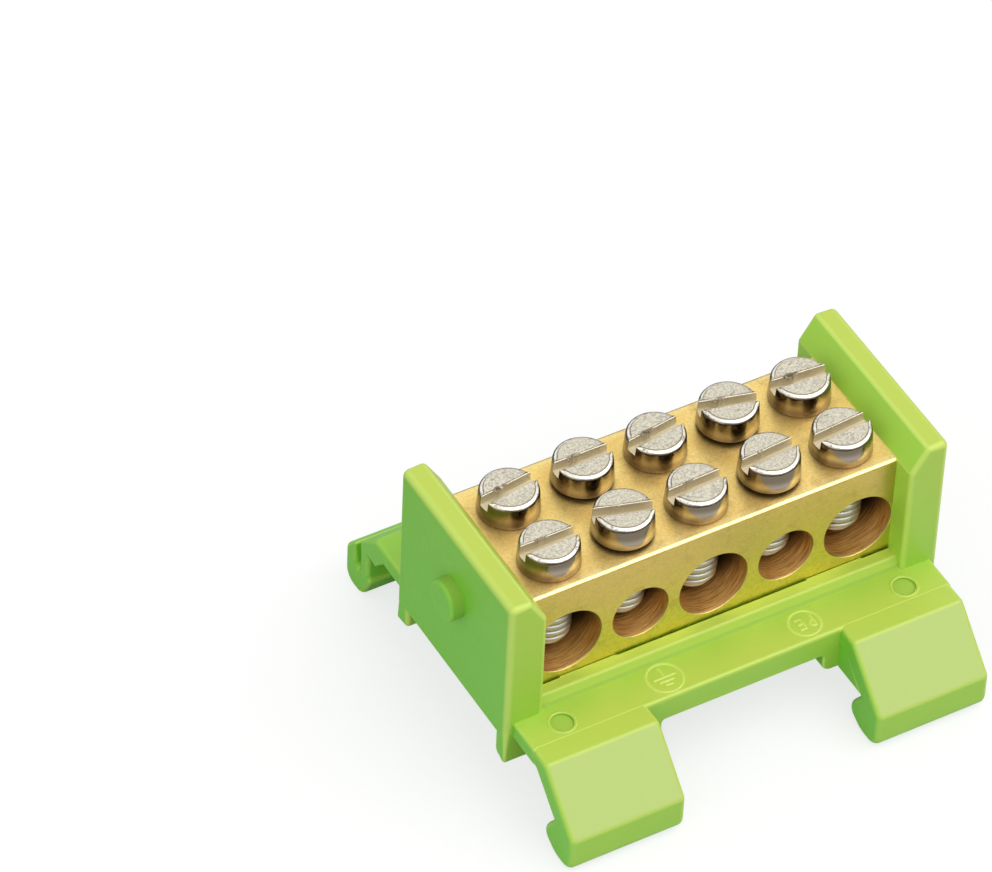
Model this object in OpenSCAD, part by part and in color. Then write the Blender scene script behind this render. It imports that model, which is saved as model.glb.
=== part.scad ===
// Earth terminal block for a 35 mm top-hat rail. A moulded carrier clips over the rail and holds a
// brass bar between two end plates. Each conductor hole in the bar is clamped by a screw from the
// front row and one from the back row.
// X runs along the bar, Y from front to back and Z up. The origin lies under the middle of the
// block, level with the lowest points of the clip hooks.

/* [Terminal bar] */
// Distance between neighbouring conductor holes
pitch = 8; // [7.8:0.1:10]
// Depth of the bar, front to back
bar_w = 15.8; // [15:0.1:17]
// Height of the bar
bar_h = 12.8; // [12:0.1:15]
// Diameter of the large conductor holes
large_hole_d = 7.3; // [6.4:0.1:7.5]
// Diameter of the small conductor holes
small_hole_d = 5.9; // [5.5:0.1:6.8]
// Height of the hole axes above the underside of the bar
hole_height = 5.4; // [4.8:0.1:6]
// Distance from an outer hole's axis to the end of the bar
end_margin = 5; // [4.5:0.1:7]
// Radius of the bar's long edges
bar_edge_r = 0.4; // [0.1:0.05:0.8]
// Bevel around the mouth of each hole
mouth_bevel = 0.15; // [0.05:0.05:0.4]

/* [Clamp screws] */
// Distance between the front row and the back row
row_gap = 7.65; // [7.2:0.05:8.4]
// Outer diameter of the thread
thread_d = 5; // [4.2:0.1:5.2]
// Length of the shank under the head
shank_l = 10; // [8:0.1:10.2]
// Bevel at the tip of the shank
tip_bevel = 0.8; // [0.4:0.1:1.2]
// Diameter of the head
head_d = 6.2; // [5.6:0.1:6.8]
// Height of the head
head_h = 2.6; // [1.8:0.1:3]
// How much the head's radius narrows towards its top
head_draft = 0.2; // [0:0.05:0.4]
// Radius of the head's top edge
head_edge_r = 0.4; // [0.1:0.05:0.7]
// Width of the driver slot
slot_w = 1.1; // [0.6:0.05:1.4]
// Depth of the driver slot
slot_depth = 1.1; // [0.6:0.1:1.4]
// Radial gap between a shank and its tapped hole
thread_gap = 0.05; // [0.02:0.01:0.1]
// Gap left between a shank's shoulder and the wall of its conductor hole
tip_gap = 0.08; // [0.05:0.01:0.2]

/* [Base] */
// Thickness of the base plate
base_t = 2; // [1.6:0.1:3]
// Depth of the base plate, front to back
base_d = 28.8; // [26.8:0.1:31]
// Height of the skirts under the front and back edges, from the top of the base
skirt_h = 3; // [2.4:0.1:4]
// Thickness of the skirts
skirt_t = 1.7; // [1.2:0.1:2.4]
// Height of the legs that stand on the rail, below the base plate
leg_h = 3.3; // [2.4:0.1:5]
// Height of the curbs that run along the bar
curb_h = 1; // [0.6:0.1:1.6]
// Thickness of the curbs at the top
curb_t = 1.2; // [0.8:0.1:1.8]
// Gap between the bar and the curbs
curb_gap = 0.25; // [0.1:0.05:0.5]
// Length of the pads on the curbs that steady the bar
pad_l = 6.2; // [4:0.1:8]
// Distance from the middle of the block to the middle of a pad
pad_x = 13.6; // [10:0.1:14.5]
// Gap between the bar and what holds it
bar_gap = 0.05; // [0.02:0.01:0.2]
// Diameter of the shallow ejector marks
mark_d = 2.4; // [1.5:0.1:3]
// Depth of the ejector marks
mark_depth = 0.2; // [0.1:0.05:0.4]

/* [End plates] */
// Depth of an end plate, front to back
plate_d = 20.9; // [19:0.1:24]
// Thickness of an end plate beside the bar
plate_t = 4.1; // [3.6:0.1:6]
// Thickness of an end plate at its top
plate_top_t = 2.35; // [1.6:0.05:3]
// Height of an end plate above the bar
plate_rise = 2.8; // [2:0.1:5]
// Depth of the catches over the ends of the bar
catch_depth = 1.2; // [0.8:0.1:1.6]
// Radius of the upright outer edges
plate_edge_r = 0.8; // [0.3:0.1:1.5]
// Radius of the top outer edge
plate_top_r = 0.5; // [0.2:0.1:1]
// Depth of the legs at the corners of an end plate
plate_leg_d = 2; // [1.6:0.1:4]
// Height of the back legs above the rail that the front legs stand on
leg_play = 0.75; // [0:0.05:1.5]
// Diameter of the round boss on the outside
boss_d = 4.3; // [3:0.1:6]
// Height of the boss above the end plate
boss_h = 1.4; // [0.6:0.1:2.5]
// Height of the boss's axis above the top of the base
boss_z = 8; // [5:0.1:10]

/* [Rail clips] */
// Width of the mounting rail
rail_w = 35; // [34.8:0.1:35.2]
// Thickness of the mounting rail
rail_t = 1; // [0.9:0.05:1.2]
// Length of a clip along the rail
clip_l = 12.5; // [9:0.1:13.5]
// Thickness of the slanted arms
arm_t = 2.6; // [2:0.1:3.2]
// Gap between the rail's edge and the arm, level with the rail's top
arm_gap = 0.6; // [0.3:0.1:1]
// Depth of the hooks below the rail's top
hook_h = 4.65; // [4.4:0.05:6]
// Thickness of a front hook, outside its notch
hook_t = 3.6; // [3.2:0.1:4.5]
// How far the nose of a front hook reaches in from its notch
hook_reach = 2; // [1.6:0.1:2.2]
// Thickness of the web that stiffens the inner end of a front clip
web_t = 1.5; // [1:0.1:3]
// How far the skirt's leg reaches past the inner end of a clip
leg_step = 1.7; // [1:0.1:4]
// Gap between the rail's edge and the springy leg of a back clip
spring_gap = 0.2; // [0.1:0.05:0.4]
// Thickness of the springy leg of a back clip
spring_t = 1.45; // [1.1:0.05:1.6]
// How far the nose of a back clip reaches under the rail
spring_catch = 0.45; // [0.3:0.05:0.7]
// Width of the slot that takes a driver's blade to release a back clip
release_w = 1; // [0.8:0.05:1.2]

/* [Hidden] */
$fn = 48;
ways = 5;
sides = ["front", "back"];
// Turn of each driver slot about its screw, in degrees from the X axis
slot_turn = [[0, -17, 2, 4, 4], [7, -1, 8, -15, -5]];
// Overlap that lets joined shapes merge
merge = 0.5;
// Room beyond a face for a cut that passes through it
past = 1;

// Edge radii of the moulded sections
fine_r = 0.2;
edge_r = 0.4;
bend_r = 0.8;
leg_r = 1;
nose_r = 1.2;
lip_r = 1.6;
ramp_r = 3;

// Heights, from the hooks' lowest points up
rail_top = hook_h;
base_under = rail_top + leg_h;
base_top = base_under + base_t;
bar_top = base_top + bar_h;
plate_top = bar_top + plate_rise;
skirt_under = base_top - skirt_h;

// Lengths along the bar
mark_inset = 0.9;
bar_l = (ways - 1) * pitch + 2 * end_margin;
plate_in = bar_l / 2 - catch_depth;
plate_out = plate_in + plate_t;
clip_out = plate_out - plate_edge_r;
clip_in = clip_out - clip_l;
leg_in = clip_in - leg_step;
web_out = clip_in + web_t;

// Depths from the middle of the block outwards
curb_in = bar_w / 2 + curb_gap;
curb_out = curb_in + curb_t;
curb_foot = curb_out + curb_h / 2;
pad_in = bar_w / 2 + bar_gap;
skirt_in = base_d / 2 - skirt_t;
mark_y = (plate_d / 2 + base_d / 2) / 2;
mark_x = plate_in - mark_inset;

// The arm's faces slope at 45 degrees: depth plus height is the same all along each face
arm_in = rail_w / 2 + arm_gap + rail_top;
arm_out = arm_in + arm_t * sqrt(2);
notch_drop = 0.3;
notch = [arm_in - rail_top + notch_drop, rail_top - notch_drop];
hook_slope = 1.42;
nose = notch - hook_reach * [1, hook_slope];
ramp_run = 2.5;
lip_out = notch[0] + hook_t;

// A back clip hangs from the same arm on a springy leg beside the rail's edge
spring_in = rail_w / 2 + spring_gap;
release_in = spring_in + spring_t;
ledge_rise = 1.8;
ledge_z = rail_top + ledge_rise;
catch_play = 0.15;
catch_z = rail_top - rail_t - catch_play;
spring_nose = [rail_w / 2 - spring_catch, catch_z - fine_r];
spring_ramp = 1.75;
release_drop = 0.4;
release_floor = catch_z - release_drop;

function way_x(way) = (way - (ways + 1) / 2) * pitch;
function hole_d(way) = way % 2 == 1 ? large_hole_d : small_hole_d;

// Height above the underside of the bar at which a shank's shoulder meets its conductor hole
function shoulder_stop(way) =
    hole_height - sqrt(max(0, pow(hole_d(way) / 2, 2) - pow(thread_d / 2 + tip_gap, 2)));

// A screw runs down until its head meets the bar or its tip meets the wall of a small hole
function screw_lift(way) = max(0, shoulder_stop(way) - tip_bevel - (bar_h - shank_l));

// Geometry of one rounded corner of an outline that runs anticlockwise
function unit(v) = v / norm(v);
function at(points, i) = points[(i + len(points)) % len(points)];
function to_last(points, i) = unit(at(points, i - 1) - points[i]);
function to_next(points, i) = unit(at(points, i + 1) - points[i]);
function half_angle(points, i) = acos(to_last(points, i) * to_next(points, i)) / 2;
function is_outer(points, i) = cross(-to_last(points, i), to_next(points, i)) > 0;
function tangents(points, i, r) =
    [for (way = [to_last(points, i), to_next(points, i)]) points[i] + way * r / tan(half_angle(points, i))];
function corner_centre(points, i, r) =
    points[i] + unit(to_last(points, i) + to_next(points, i)) * r / sin(half_angle(points, i));

module corner_sector(points, i, r) {
    centre = corner_centre(points, i, r);
    ends = tangents(points, i, r);
    intersection() {
        translate(centre) circle(r);
        polygon([centre, ends[0], points[i], ends[1]]);
    }
}

// Outline through the points, with a true arc of radius radii[i] at corner i
module rounded_outline(points, radii) {
    last = len(points) - 1;
    difference() {
        union() {
            polygon([for (i = [0:last]) each radii[i] > 0 ? tangents(points, i, radii[i]) : [points[i]]]);
            for (i = [0:last]) if (radii[i] > 0 && is_outer(points, i)) corner_sector(points, i, radii[i]);
        }
        for (i = [0:last]) if (radii[i] > 0 && !is_outer(points, i)) corner_sector(points, i, radii[i]);
    }
}

// Outline in depth and height, drawn out along X
module along_x(from, to) {
    translate([from, 0, 0]) rotate([90, 0, 90]) linear_extrude(to - from) children();
}

// Outline in length and height, drawn out along Y
module along_y(from, to) {
    translate([0, to, 0]) rotate([90, 0, 0]) linear_extrude(to - from) children();
}

module both_sides() {
    children();
    mirror([0, 1, 0]) children();
}

module both_ends() {
    children();
    mirror([1, 0, 0]) children();
}

module base_plate() {
    translate([-clip_out, -base_d / 2, base_under]) cube([2 * clip_out, base_d, base_t]);
}

// Skirt under the edge of the base, with a leg at each end that stands on the rail
module skirt() {
    along_y(skirt_in, base_d / 2) rounded_outline(
        [
            [-web_out, rail_top], [-leg_in, rail_top], [-leg_in, skirt_under],
            [leg_in, skirt_under], [leg_in, rail_top], [web_out, rail_top],
            [web_out, base_under + merge], [-web_out, base_under + merge]
        ],
        [0, leg_r, edge_r, edge_r, leg_r, 0, 0, 0]
    );
}

// Curb along the bar, with two pads that close the gap to it
module curb() {
    along_x(-plate_in - merge, plate_in + merge) rounded_outline(
        [
            [curb_in, base_top - merge], [curb_foot + merge / 2, base_top - merge],
            [curb_out, base_top + curb_h], [curb_in, base_top + curb_h]
        ],
        [0, 0, fine_r, 0]
    );
    both_ends() translate([pad_x - pad_l / 2, pad_in, base_top - merge])
        cube([pad_l, curb_out - edge_r - pad_in, curb_h + merge]);
}

module end_plate_section() {
    rounded_outline(
        [
            [plate_in, base_under], [plate_out, base_under], [plate_out, plate_top],
            [plate_out - plate_top_t, plate_top], [plate_in, bar_top]
        ],
        [0, 0, plate_top_r, fine_r, 0]
    );
}

// Leg under an end plate, from the given depth backwards, with its lower back edge rounded
module end_plate_leg(from, under, r) {
    along_x(plate_in, plate_out) rounded_outline(
        [
            [from, under], [from + plate_leg_d, under],
            [from + plate_leg_d, base_under + merge], [from, base_under + merge]
        ],
        [0, r, 0, 0]
    );
}

// End plate seen from above, which rounds its upright outer edges
module end_plate_plan() {
    rounded_outline(
        [
            [plate_in, -plate_d / 2], [plate_out, -plate_d / 2],
            [plate_out, plate_d / 2], [plate_in, plate_d / 2]
        ],
        [0, plate_edge_r, plate_edge_r, 0]
    );
}

module end_plate() {
    intersection() {
        union() {
            along_y(-plate_d / 2, plate_d / 2) end_plate_section();
            end_plate_leg(-plate_d / 2, rail_top, leg_r);
            end_plate_leg(plate_d / 2 - plate_leg_d, rail_top + leg_play, edge_r);
        }
        linear_extrude(plate_top) end_plate_plan();
    }
    translate([plate_out - merge, 0, base_top + boss_z]) rotate([0, 90, 0])
        cylinder(d = boss_d, h = boss_h + merge);
}

// Arm and hook of a front clip, in depth and height
module hook_section() {
    rounded_outline(
        [
            [skirt_in, base_under], [arm_in - base_under, base_under], notch, nose,
            [nose[0] + ramp_run, 0], [lip_out, 0], [lip_out, arm_out - lip_out],
            [arm_out - base_top, base_top], [skirt_in, base_top]
        ],
        [0, edge_r, fine_r, nose_r, ramp_r, lip_r, bend_r, edge_r, 0]
    );
}

// Web between the base and the arm at the inner end of a front clip
module clip_web() {
    along_x(clip_in, web_out) polygon([
        [skirt_in, rail_top], [arm_in - rail_top + merge, rail_top],
        [arm_in - base_under + merge, base_under + merge], [skirt_in, base_under + merge]
    ]);
}

module hook_clip() {
    along_x(clip_in, clip_out) hook_section();
    clip_web();
}

// Arm, springy leg, nose and outer lip of a back clip, in depth and height
module spring_outline() {
    rounded_outline(
        [
            [skirt_in, base_under], [arm_in - base_under, base_under], [arm_in - ledge_z, ledge_z],
            [spring_in, ledge_z], [spring_in, catch_z], spring_nose,
            [spring_nose[0] + spring_ramp, 0], [lip_out, 0], [lip_out, arm_out - lip_out],
            [arm_out - base_top, base_top], [skirt_in, base_top]
        ],
        [0, edge_r, fine_r, edge_r, 0, fine_r, bend_r, lip_r, bend_r, edge_r, 0]
    );
}

module spring_section() {
    difference() {
        spring_outline();
        translate([release_in + release_w / 2, release_floor + release_w / 2]) circle(d = release_w);
        translate([release_in, release_floor + release_w / 2]) square([release_w, hook_h + leg_h]);
    }
}

module spring_clip() {
    along_x(clip_in, clip_out) spring_section();
}

// Space for the bar between the base, the catches and the end plates
module bar_seat() {
    translate([-bar_l / 2 - bar_gap, -bar_w / 2 - bar_gap, base_top])
        cube([bar_l + 2 * bar_gap, bar_w + 2 * bar_gap, bar_h + bar_gap]);
}

module carrier() {
    color("yellowgreen") difference() {
        union() {
            base_plate();
            both_sides() {
                skirt();
                curb();
            }
            both_ends() {
                end_plate();
                mirror([0, 1, 0]) hook_clip();
                spring_clip();
            }
        }
        bar_seat();
        both_sides() both_ends() translate([mark_x, mark_y, base_top - mark_depth])
            cylinder(d = mark_d, h = mark_depth + past);
    }
}

module bar_section() {
    rounded_outline(
        [[-bar_w / 2, 0], [bar_w / 2, 0], [bar_w / 2, bar_h], [-bar_w / 2, bar_h]],
        [bar_edge_r, bar_edge_r, bar_edge_r, bar_edge_r]
    );
}

// Conductor hole through the bar, with both mouths bevelled
module conductor_hole(d) {
    rotate([90, 0, 0]) cylinder(d = d, h = bar_w + 2 * past, center = true);
    both_sides() translate([0, bar_w / 2 - mouth_bevel, 0]) rotate([-90, 0, 0])
        cylinder(d1 = d, d2 = d + 2 * (mouth_bevel + past), h = mouth_bevel + past);
}

module terminal_bar() {
    color("goldenrod") translate([0, 0, base_top]) difference() {
        along_x(-bar_l / 2, bar_l / 2) bar_section();
        for (way = [1:ways]) translate([way_x(way), 0, hole_height]) {
            conductor_hole(hole_d(way));
            both_sides() translate([0, row_gap / 2, 0])
                cylinder(d = thread_d + 2 * thread_gap, h = bar_h - hole_height + past);
        }
    }
}

// Head and shank of a clamp screw in half section, with the underside of the head at zero height
module screw_section() {
    rounded_outline(
        [
            [0, -shank_l], [thread_d / 2 - tip_bevel, -shank_l], [thread_d / 2, tip_bevel - shank_l],
            [thread_d / 2, 0], [head_d / 2, 0], [head_d / 2 - head_draft, head_h], [0, head_h]
        ],
        [0, 0, 0, 0, 0, head_edge_r, 0]
    );
}

module clamp_screw(way, row) {
    y = (row - 0.5) * row_gap;
    color("silver") translate([way_x(way), y, bar_top + screw_lift(way)]) difference() {
        rotate_extrude() screw_section();
        rotate([0, 0, slot_turn[row][way - 1]]) translate([-head_d, -slot_w / 2, head_h - slot_depth])
            cube([2 * head_d, slot_w, slot_depth + past]);
    }
}

carrier();
terminal_bar();
for (row = [0, 1], way = [1:ways])
    clamp_screw(way, row);
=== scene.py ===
"""Looks of the earth terminal block: a moulded carrier, a brass bar and ten plated clamp screws."""

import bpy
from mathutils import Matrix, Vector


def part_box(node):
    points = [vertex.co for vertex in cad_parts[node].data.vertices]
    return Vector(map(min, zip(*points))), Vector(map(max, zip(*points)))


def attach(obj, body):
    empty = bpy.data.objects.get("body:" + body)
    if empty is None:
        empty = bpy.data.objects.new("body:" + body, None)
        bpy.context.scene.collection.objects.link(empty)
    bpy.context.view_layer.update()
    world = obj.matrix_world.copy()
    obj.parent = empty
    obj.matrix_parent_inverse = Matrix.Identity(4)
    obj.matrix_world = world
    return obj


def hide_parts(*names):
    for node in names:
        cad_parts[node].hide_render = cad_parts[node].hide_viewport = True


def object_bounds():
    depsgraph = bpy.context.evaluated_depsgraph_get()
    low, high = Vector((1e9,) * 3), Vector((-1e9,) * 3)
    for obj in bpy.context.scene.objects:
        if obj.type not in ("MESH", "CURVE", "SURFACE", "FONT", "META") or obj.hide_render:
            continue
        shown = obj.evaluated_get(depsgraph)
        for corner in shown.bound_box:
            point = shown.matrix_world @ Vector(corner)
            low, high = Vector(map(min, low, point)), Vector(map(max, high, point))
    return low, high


bl_info = {
    "name": "Earth terminal block",
    "version": (1, 0, 0),
    "blender": (4, 5, 0),
    "location": "3D View > Sidebar > Terminal",
    "description": "Builds the finished surfaces of a rail-mounted earth terminal block",
    "category": "Add Mesh",
}

from math import asin, copysign, cos, exp, pi, radians, sin, tan

import bmesh
import bpy
from bpy.props import FloatProperty, FloatVectorProperty, IntProperty, PointerProperty
from mathutils import Matrix, Vector, noise

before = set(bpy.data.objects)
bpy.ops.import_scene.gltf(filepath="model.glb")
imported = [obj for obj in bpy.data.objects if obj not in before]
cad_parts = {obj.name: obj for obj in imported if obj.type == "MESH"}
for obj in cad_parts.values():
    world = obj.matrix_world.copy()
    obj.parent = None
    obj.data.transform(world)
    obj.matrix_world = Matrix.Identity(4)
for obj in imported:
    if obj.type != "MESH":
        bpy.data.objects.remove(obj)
CAD_BOX = [list(corner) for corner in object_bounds()]

MM = 0.001
NEAR = 0.01 * MM

# Mesh attributes that the materials read, and the node group that they share: EDGE holds painted highlight and
# painted shade, and SLOT marks the slots, with painted shade in grooves and torn metal.
EDGE = "edge"
SLOT = "slot"
GRAIN = "surface_grain"

# Places where a shell is repeated, as signs for x and y.
ONE = ((1, 1),)
BOTH_ENDS = ((1, 1), (-1, 1))
BOTH_SIDES = ((1, 1), (1, -1))
FOUR = ((1, 1), (-1, 1), (1, -1), (-1, -1))
FRONT_PAIR = ((1, -1), (-1, -1))
BACK_PAIR = BOTH_ENDS

# Rounding of shells: no limit to an inset, the most of a corner's radius that an inset takes, the
# least that a mitre is divided by, and the groove round a raised face in shares of its lip.
NO_LIMIT = 1e9
INSET_SHARE = 0.9
MITRE_LEAST = 0.25
GROOVE_WIDE = 1.5
GROOVE_DEEP = 2
FACE_SHARE = 0.82

# Overlap that joins the shells of one moulding, a small step that keeps them from sharing a face, and
# a step past a face that tells what lies beyond it from the face itself.
BURIED = 0.5
TUCK = 0.02
PAST = 0.05

# Heights above the rail clips' feet, in millimetres.
RAIL_TOP = 4.65
SKIRT_UNDER = 6.95
BASE_UNDER = 7.95
BASE_TOP = 9.95
BAR_TOP = 22.75
PLATE_TOP = 25.55

# Half lengths along x and half depths along y, in millimetres.
BASE_X = 23.1
BASE_Y = 14.4
BAR_Y = 7.9
SKIRT_IN = 12.7
PLATE_IN = 19.8
PLATE_OUT = 23.9
PLATE_Y = 10.45
PLATE_LEG_IN = 8.45
CLIP_IN = 10.6
WEB_END = 12.1
LIP_OUT = 22.0
ARM_OUT = 26.43

# Ejector marks and raised signs on the base, in millimetres.
EJECT_AT = (18.9, 12.425)
EJECT_R = 1.2
EJECT_DEEP = 0.2
EJECT_RIM = 0.1
EARTH_AT = (-7.5, -12.0)
EARTH_R = 1.8
LETTERS_AT = (7.9, -12.1)
LETTERS_R = 1.6

# Conductor holes and the screws over them, in millimetres.
ROWS = ("front", "back")
WAYS = 5
WAY_PITCH = 8.0
HOLE_Z = 15.35
LARGE_HOLE_R = 3.65
HEAD_R = 3.1
HEAD_H = 2.6
HEAD_DRAFT = 0.2
SLOT_W = 1.1
SLOT_DEEP = 1.1
SHANK_R = 2.5
SHANK_LONG = 10.0
THREAD_PLAY = 0.02
PLAIN_TIP = 0.6
RIDGE_WIDTH = 1.5
THREAD_DROP = 1.04

# Turn of each driver slot in degrees, how torn its edges are, and the highest burr.
TURNS = {"front": (0, -17, 2, 4, 4), "back": (7, -1, 8, -15, -5)}
BURRS = {"front": (0.5, 0.3, 0.45, 0.5, 0.2), "back": (0.9, 1.0, 0.9, 0.9, 1.0)}
MOST_BURR = 0.2 * MM

# Direction of the painted light on the plastic, and how far each place shifts towards the lit colour, or
# towards painted shade below 0: the cloud is a random tone; low places, bosses, the back and the base beside
# the bar get painted shade.
LIGHT_WAY = (0.45, -0.3, 0.84)
CLOUD_SHIFT = 0.06
HEIGHT_SHIFT = 0.25
BOSS_SHIFT = -0.8
BACK_SHIFT = -0.7
FLOOR_SHIFT = -0.35

# Floor and lamps of the stage, in metres.
FLOOR_HALF = 3.0
KEY_AT = Vector((0.30, -0.36, 0.88)) * 0.9
KEY_SIZE = 0.9
FILL_AT = Vector((-0.75, -0.35, 0.50))
FILL_SIZE = 0.7


def outline(points, radii, reach=None, steps=6):
    """Corners rounded to true arcs.

    Gives (point, most that it may be inset, share), the share from 1 for painted highlight on an edge to -1 for
    painted shade in a recess.
    """
    made = []
    count = len(points)
    for i, radius in enumerate(radii):
        most = reach[i] if reach else NO_LIMIT
        here = Vector(points[i])
        before = (Vector(points[i - 1]) - here).normalized()
        after = (Vector(points[(i + 1) % count]) - here).normalized()
        if radius <= 0:
            made.append((here, most, 0))
            continue
        half = before.angle(after) / 2
        centre = here + (before + after).normalized() * radius / sin(half)
        first = here + before * radius / tan(half) - centre
        turn = pi - 2 * half
        outward = before.x * after.y - before.y * after.x < 0
        if not outward:
            turn = -turn
        limit = min(most, INSET_SHARE * radius) if outward else most
        for k in range(steps + 1):
            point = centre + Matrix.Rotation(turn * k / steps, 2) @ first
            share = round_share(k / steps)
            made.append((point, limit, share if outward else -share))
    return made


def round_share(part):
    """0 where a rounding starts and ends, 1 in its middle."""
    return 1 - (2 * part - 1) ** 2


def oblong(low, high, radii):
    """A rectangle between two corners, as outline() gives it."""
    (left, bottom), (right, top) = low, high
    return outline([(left, bottom), (right, bottom), (right, top), (left, top)], radii)


def circle(centre, radius, steps=64, share=0):
    """A round outline, as outline() gives it."""
    middle = Vector(centre)
    angles = [2 * pi * k / steps for k in range(steps)]
    points = [middle + radius * Vector((cos(a), sin(a))) for a in angles]
    return [(point, INSET_SHARE * radius, share) for point in points]


def inset(shape, depths):
    """The outline's points, each moved inwards by its own depth."""
    moved = []
    for i, (here, _, _) in enumerate(shape):
        before = (here - shape[i - 1][0]).normalized()
        after = (shape[(i + 1) % len(shape)][0] - here).normalized()
        sides = [Vector((-way.y, way.x)) for way in (before, after)]
        mitre = (sides[0] + sides[1]) / max(MITRE_LEAST, 1 + sides[0].dot(sides[1]))
        moved.append(here + mitre * depths[i])
    return moved


def end_rings(shape, end, soft, way, glow, steps=5):
    """Rings of (point, place along the axis, share of painted highlight or shade) that round one end of a
    shell.
    """
    radii = [min(soft, limit) for _, limit, _ in shape]
    rings = []
    for k in range(steps + 1) if soft > 0 else (steps,):
        angle = pi / 2 * k / steps
        share = glow * round_share(k / steps)
        points = inset(shape, [radius * (1 - sin(angle)) for radius in radii])
        lift = 1 - cos(angle)
        arc_shares = [arc * sin(angle) for _, _, arc in shape]
        rings.append(
            [
                (point, end + way * radius * lift, share + arc if arc < 0 else max(share, glow * arc))
                for point, radius, arc in zip(points, radii, arc_shares)
            ]
        )
    return rings


def raised_face(shape, end, soft, lip):
    """Rings of a flat end face with a fine groove round it."""
    radii = [min(soft, limit) for _, limit, _ in shape]
    floor = inset(shape, [radius + lip for radius in radii])
    rim = inset(shape, [radius + GROOVE_WIDE * lip for radius in radii])
    middle = sum(rim, Vector((0, 0))) / len(rim)
    core = [middle + (point - middle) * FACE_SHARE for point in rim]
    rings = ((floor, end - GROOVE_DEEP * lip), (rim, end), (core, end))
    return [[(point, place, 0) for point in ring] for ring, place in rings]


def add_shell(
    bm, shape, along, start, end, soft_start=0, soft_end=0, places=ONE, glow=1, far_shape=None, lip=0
):
    """A closed shell: the outline drawn out along an axis, with its two ends rounded; glow scales the painted
    highlight on its rounded edges.
    """
    far_shape = far_shape or shape
    rings = end_rings(shape, start, soft_start, 1, glow)
    rings += end_rings(far_shape, end - lip, soft_end, -1, glow)[::-1]
    if lip:
        rings += raised_face(far_shape, end, soft_end, lip)
    order = {"X": (2, 0, 1), "Y": (0, 2, 1), "Z": (0, 1, 2)}[along]
    edge_layer = bm.verts.layers.float.get(EDGE) or bm.verts.layers.float.new(EDGE)
    for sign_x, sign_y in places:
        loops = []
        for ring in rings:
            loop = []
            for point, place, share in ring:
                flat = (point.x, point.y, place)
                x, y, z = (flat[k] for k in order)
                vert = bm.verts.new((x * sign_x * MM, y * sign_y * MM, z * MM))
                vert[edge_layer] = share
                loop.append(vert)
            loops.append(loop)
        for low, high in zip(loops, loops[1:]):
            for k in range(len(shape)):
                bm.faces.new((low[k - 1], low[k], high[k], high[k - 1]))
        bm.faces.new(loops[0])
        bm.faces.new(loops[-1])


def shade(bm, sharp_deg=38):
    """Outward normals, smooth faces and hard lines only where the surface turns sharply."""
    bmesh.ops.recalc_face_normals(bm, faces=bm.faces[:])
    limit = radians(sharp_deg)
    for face in bm.faces:
        face.smooth = True
    for edge in bm.edges:
        edge.smooth = not (len(edge.link_faces) == 2 and edge.calc_face_angle(0) > limit)


def new_piece(name, bm):
    """An object made of the given mesh, at the origin."""
    mesh = bpy.data.meshes.new(name)
    bm.to_mesh(mesh)
    bm.free()
    piece = bpy.data.objects.new(name, mesh)
    bpy.context.scene.collection.objects.link(piece)
    return piece


def bake(piece):
    """Turns the piece and its modifiers into a plain mesh."""
    bpy.context.view_layer.update()
    graph = bpy.context.evaluated_depsgraph_get()
    mesh = bpy.data.meshes.new_from_object(piece.evaluated_get(graph), depsgraph=graph)
    mesh.name = piece.name
    piece.modifiers.clear()
    piece.data = mesh


def flatten_faces(piece):
    """Keeps broad flat faces flat beside rounded edges."""
    weigh = piece.modifiers.new("flat faces", "WEIGHTED_NORMAL")
    weigh.keep_sharp = True
    weigh.weight = 95
    bake(piece)


def hand_over(piece, material, body, slot, *nodes):
    """Gives the piece its material and tells the frame what it stands for."""
    piece.data.materials.clear()
    piece.data.materials.append(material)
    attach(piece, body)
    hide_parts(*nodes)


def add_node(tree, kind, inputs=None, **settings):
    """A node with its settings, constants and incoming links."""
    made = tree.nodes.new(kind)
    for key, value in settings.items():
        setattr(made, key, value)
    for key, value in (inputs or {}).items():
        if isinstance(value, bpy.types.NodeSocket):
            tree.links.new(value, made.inputs[key])
        else:
            made.inputs[key].default_value = value
    return made


def maths(tree, operation, *values):
    """The result of a math node."""
    inputs = dict(enumerate(values))
    return add_node(tree, "ShaderNodeMath", inputs, operation=operation).outputs[0]


def times(tree, *values):
    """The product of two values, plus a third where one is given."""
    return maths(tree, "MULTIPLY_ADD" if len(values) > 2 else "MULTIPLY", *values)


def measure(tree, operation, first, second):
    """A number that is worked out from two vectors."""
    inputs = {0: first, 1: second}
    return add_node(tree, "ShaderNodeVectorMath", inputs, operation=operation).outputs["Value"]


def ramp(tree, value, low, high, smooth=True):
    """Runs from 0 at low to 1 at high."""
    kind = "SMOOTHSTEP" if smooth else "LINEAR"
    inputs = {"Value": value, "From Min": low, "From Max": high}
    return add_node(tree, "ShaderNodeMapRange", inputs, interpolation_type=kind).outputs["Result"]


def mix_value(tree, share, first, second):
    """Blends two values."""
    inputs = {0: share, 2: first, 3: second}
    return add_node(tree, "ShaderNodeMix", inputs, data_type="FLOAT").outputs[0]


def mix_colour(tree, share, first, second):
    """Blends two colours, each a socket or three numbers."""
    inputs = {0: share}
    for key, paint in ((6, first), (7, second)):
        inputs[key] = paint if isinstance(paint, bpy.types.NodeSocket) else (*paint, 1)
    return add_node(tree, "ShaderNodeMix", inputs, data_type="RGBA").outputs[2]


def coated(tree, colour, *coats):
    """A colour with coats laid over it, each given as its share and its colour."""
    for share, coat in coats:
        colour = mix_colour(tree, share, colour, coat)
    return colour


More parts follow.
